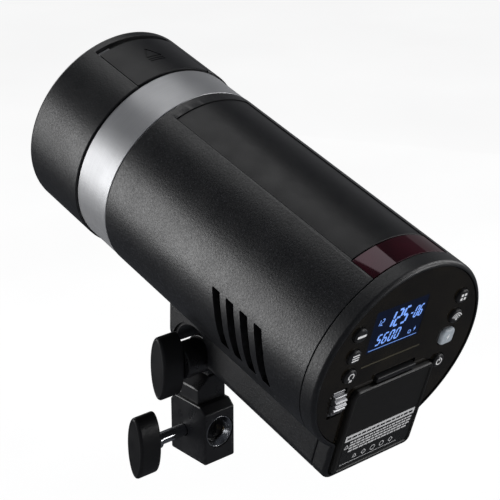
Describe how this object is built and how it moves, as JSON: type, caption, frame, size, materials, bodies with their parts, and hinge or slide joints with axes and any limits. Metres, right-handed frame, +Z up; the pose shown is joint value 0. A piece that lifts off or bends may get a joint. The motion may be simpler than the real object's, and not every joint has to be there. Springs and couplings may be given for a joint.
{
  "type": "monolight strobe",
  "caption": "Battery flash head with a capped nose and a control panel behind, tilting on a small stand bracket with wing knobs.",
  "frame": {"origin": "centre of the stand socket's mouth, under the bracket block", "axes": "+Z up along the stand, +Y forward out of the nose, +X across, to the right seen from behind"},
  "size_m": [0.0998, 0.2103, 0.1765],
  "materials": {
    "bracket_block": "satin black powder coat",
    "umbrella_bush_rear": "machined and polished",
    "umbrella_bush_front": "machined and polished",
    "tilt_spacer": "satin black",
    "tilt_knob": "fine matt black moulding",
    "tilt_screw": "plated steel",
    "lock_pad": "turned brass",
    "lock_knob": "fine matt black moulding",
    "lock_screw": "polished steel",
    "housing": "satin charcoal with a fine fleck",
    "bezel": "satin charcoal",
    "top_strip": "smooth satin black",
    "sensor_window": "clear dark red",
    "vent_screen_left": "black",
    "vent_screen_right": "black",
    "rear_panel": "polished black",
    "screen_glass": "clear, gloss",
    "screen_module": "backlit blue",
    "mode_button": "satin",
    "menu_button": "satin",
    "lamp_button": "satin",
    "group_button": "satin",
    "wireless_button": "satin",
    "power_button": "satin",
    "test_button": "translucent pale grey",
    "dial_wheel": "ribbed satin",
    "dial_axle": "ground",
    "battery": "fine grained black",
    "battery_label": "printed film",
    "battery_latch": "satin",
    "battery_contacts": "plated",
    "control_board": "circuit board",
    "main_board": "circuit board",
    "sensor_board": "circuit board",
    "fan_frame": "moulded",
    "fan_rotor": "moulded",
    "capacitor_left": "sleeved can",
    "capacitor_right": "sleeved can",
    "silver_ring": "satin anodised",
    "mount_ring": "black anodised",
    "reflector": "bright",
    "tube_socket": "unglazed",
    "modelling_lamp": "light emitting diode array",
    "flash_tube": "clear",
    "glass_dome": "frosted",
    "front_cap": "satin black",
    "cap_latch": "satin black"
  },
  "bodies": {
    "bracket": {"bracket_block": "bracket_block", "umbrella_bush_rear": "umbrella_bush_rear", "umbrella_bush_front": "umbrella_bush_front"},
    "tilt_spacer": {"tilt_spacer": "tilt_spacer"},
    "tilt_knob": {"tilt_knob": "tilt_knob", "tilt_screw": "tilt_screw"},
    "lock_pad": {"lock_pad": "lock_pad"},
    "lock_knob": {"lock_knob": "lock_knob", "lock_screw": "lock_screw"},
    "head": {"housing": "housing", "bezel": "bezel", "top_strip": "top_strip", "sensor_window": "sensor_window", "vent_screen_left": "vent_screen_left", "vent_screen_right": "vent_screen_right", "rear_panel": "rear_panel", "screen_glass": "screen_glass", "screen_module": "screen_module", "dial_axle": "dial_axle", "battery_contacts": "battery_contacts", "control_board": "control_board", "main_board": "main_board", "sensor_board": "sensor_board", "fan_frame": "fan_frame", "capacitor_left": "capacitor_left", "capacitor_right": "capacitor_right", "silver_ring": "silver_ring", "mount_ring": "mount_ring", "reflector": "reflector", "tube_socket": "tube_socket", "modelling_lamp": "modelling_lamp", "flash_tube": "flash_tube", "glass_dome": "glass_dome"},
    "dial": {"dial_wheel": "dial_wheel"},
    "battery": {"battery": "battery", "battery_label": "battery_label"},
    "battery_latch": {"battery_latch": "battery_latch"},
    "fan": {"fan_rotor": "fan_rotor"},
    "cap": {"front_cap": "front_cap"},
    "cap_latch": {"cap_latch": "cap_latch"},
    "mode_button": {"mode_button": "mode_button"},
    "menu_button": {"menu_button": "menu_button"},
    "lamp_button": {"lamp_button": "lamp_button"},
    "group_button": {"group_button": "group_button"},
    "wireless_button": {"wireless_button": "wireless_button"},
    "test_button": {"test_button": "test_button"},
    "power_button": {"power_button": "power_button"}
  },
  "joints": [
    {"name": "lamp_tilt", "type": "hinge", "parent": "bracket", "child": "head", "pos_m": [0.019, 0, 0.0478], "axis": [1, 0, 0], "range_deg": [-61.8, 28.2]},
    {"name": "tilt_spacer_travel", "type": "slide", "parent": "bracket", "child": "tilt_spacer", "axis": [-1, 0, 0], "range_m": [0, 0.0025]},
    {"name": "tilt_knob_turn", "type": "hinge", "parent": "tilt_spacer", "child": "tilt_knob", "pos_m": [-0.0134, 0, 0.0478], "axis": [-1, 0, 0], "range_deg": [0, 720]},
    {"name": "lock_pad_travel", "type": "slide", "parent": "bracket", "child": "lock_pad", "axis": [-1, 0, 0], "range_m": [0, 0.0025]},
    {"name": "lock_knob_turn", "type": "hinge", "parent": "lock_pad", "child": "lock_knob", "pos_m": [-0.0246, 0.003, 0.0123], "axis": [-1, 0, 0], "range_deg": [0, 720]},
    {"name": "battery_slide", "type": "slide", "parent": "head", "child": "battery", "axis": [0, -0.9571, -0.2897], "range_m": [0, 0.085]},
    {"name": "battery_latch_slide", "type": "slide", "parent": "head", "child": "battery_latch", "axis": [0, -0.2897, 0.9571], "range_m": [0, 0.0012], "stiffness_N_per_m": 400, "springref_m": -0.001},
    {"name": "cap_slide", "type": "slide", "parent": "head", "child": "cap", "axis": [0, 0.9571, 0.2897], "range_m": [0, 0.05]},
    {"name": "cap_latch_slide", "type": "slide", "parent": "cap", "child": "cap_latch", "axis": [0, 0.9571, 0.2897], "range_m": [0, 0.0028], "stiffness_N_per_m": 300, "springref_m": -0.001},
    {"name": "dial_spin", "type": "hinge", "parent": "head", "child": "dial", "pos_m": [-0.0106, -0.08996, 0.06508], "axis": [1, 0, 0], "continuous": true},
    {"name": "fan_spin", "type": "hinge", "parent": "head", "child": "fan", "pos_m": [0.019, -0.07486, 0.09734], "axis": [0, 0.9571, 0.2897], "continuous": true},
    {"name": "mode_button_press", "type": "slide", "parent": "head", "child": "mode_button", "axis": [0, 0.9571, 0.2897], "range_m": [0, 0.0008], "stiffness_N_per_m": 800, "springref_m": -0.0003},
    {"name": "menu_button_press", "type": "slide", "parent": "head", "child": "menu_button", "axis": [0, 0.9571, 0.2897], "range_m": [0, 0.0008], "stiffness_N_per_m": 800, "springref_m": -0.0003},
    {"name": "lamp_button_press", "type": "slide", "parent": "head", "child": "lamp_button", "axis": [0, 0.9571, 0.2897], "range_m": [0, 0.0008], "stiffness_N_per_m": 800, "springref_m": -0.0003},
    {"name": "group_button_press", "type": "slide", "parent": "head", "child": "group_button", "axis": [0, 0.9571, 0.2897], "range_m": [0, 0.0008], "stiffness_N_per_m": 800, "springref_m": -0.0003},
    {"name": "wireless_button_press", "type": "slide", "parent": "head", "child": "wireless_button", "axis": [0, 0.9571, 0.2897], "range_m": [0, 0.0008], "stiffness_N_per_m": 800, "springref_m": -0.0003},
    {"name": "test_button_press", "type": "slide", "parent": "head", "child": "test_button", "axis": [0, 0.9571, 0.2897], "range_m": [0, 0.0008], "stiffness_N_per_m": 800, "springref_m": -0.0003},
    {"name": "power_button_press", "type": "slide", "parent": "head", "child": "power_button", "axis": [0, 0.9571, 0.2897], "range_m": [0, 0.0008], "stiffness_N_per_m": 800, "springref_m": -0.0003}
  ],
  "couplings": [
    {"joint": "tilt_knob_turn", "follows": "tilt_spacer_travel", "rad_per_m": 5026.5},
    {"joint": "lock_knob_turn", "follows": "lock_pad_travel", "rad_per_m": 5026.5}
  ]
}
